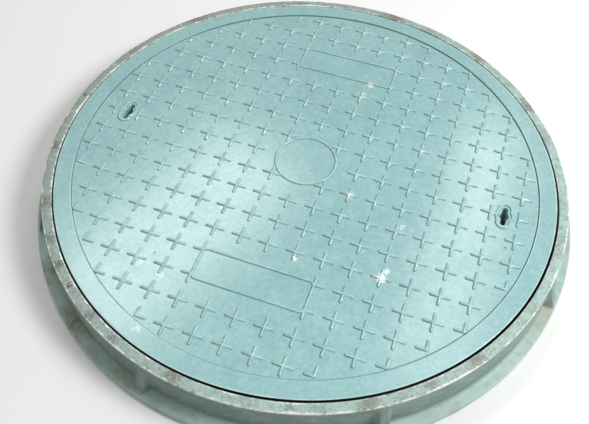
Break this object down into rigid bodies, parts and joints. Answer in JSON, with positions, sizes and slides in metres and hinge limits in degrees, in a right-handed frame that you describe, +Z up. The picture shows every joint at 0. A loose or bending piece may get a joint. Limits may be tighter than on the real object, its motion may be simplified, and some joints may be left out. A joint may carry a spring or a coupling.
{
  "type": "manhole cover",
  "caption": "Round composite manhole cover with a raised cross tread, seated in its flanged frame, with quarter-turn locks under its keyholes.",
  "frame": {"origin": "centre of the frame's underside, on the surface that it stands on", "axes": "+Z up, through the top of the cover; +X through the keyhole of lock a; +Y through the middle of a name panel"},
  "size_m": [0.77, 0.77, 0.06],
  "materials": {
    "cover_composite": "satin",
    "frame_composite": "matte",
    "seal_rubber": "matte",
    "reinforcing_steel": "matte",
    "stainless": "satin",
    "brass": "satin",
    "acetal": "satin"
  },
  "bodies": {
    "frame": {"frame_ring": "frame_composite", "hoop_upper": "reinforcing_steel", "hoop_lower": "reinforcing_steel"},
    "seal_ring": {"seal_ring": "seal_rubber"},
    "cover": {"cover_plate": "cover_composite", "cover_edge_ring": "reinforcing_steel", "bars_lengthwise": "reinforcing_steel", "bars_crosswise": "reinforcing_steel", "lock_inserts": "brass", "lock_screws": "stainless", "lock_a_gasket": "seal_rubber", "lock_a_housing": "stainless", "lock_a_bush": "acetal", "lock_b_gasket": "seal_rubber", "lock_b_housing": "stainless", "lock_b_bush": "acetal"},
    "lock_a": {"lock_a_rotor": "stainless", "lock_a_o_ring": "seal_rubber", "lock_a_tongue": "stainless", "lock_a_washer": "stainless", "lock_a_nut": "stainless"},
    "lock_b": {"lock_b_rotor": "stainless", "lock_b_o_ring": "seal_rubber", "lock_b_tongue": "stainless", "lock_b_washer": "stainless", "lock_b_nut": "stainless"}
  },
  "joints": [
    {"name": "cover_turn", "type": "hinge", "parent": "frame", "child": "seal_ring", "pos_m": [0, 0, 0.022], "axis": [0, 0, 1], "continuous": true},
    {"name": "cover_lift", "type": "slide", "parent": "seal_ring", "child": "cover", "axis": [0, 0, 1], "range_m": [0, 0.12]},
    {"name": "lock_a_turn", "type": "hinge", "parent": "cover", "child": "lock_a", "pos_m": [0.282, 0, 0.02], "axis": [0, 0, 1], "range_deg": [0, 90]},
    {"name": "lock_b_turn", "type": "hinge", "parent": "cover", "child": "lock_b", "pos_m": [-0.282, 0, 0.02], "axis": [0, 0, 1], "range_deg": [0, 90]}
  ]
}
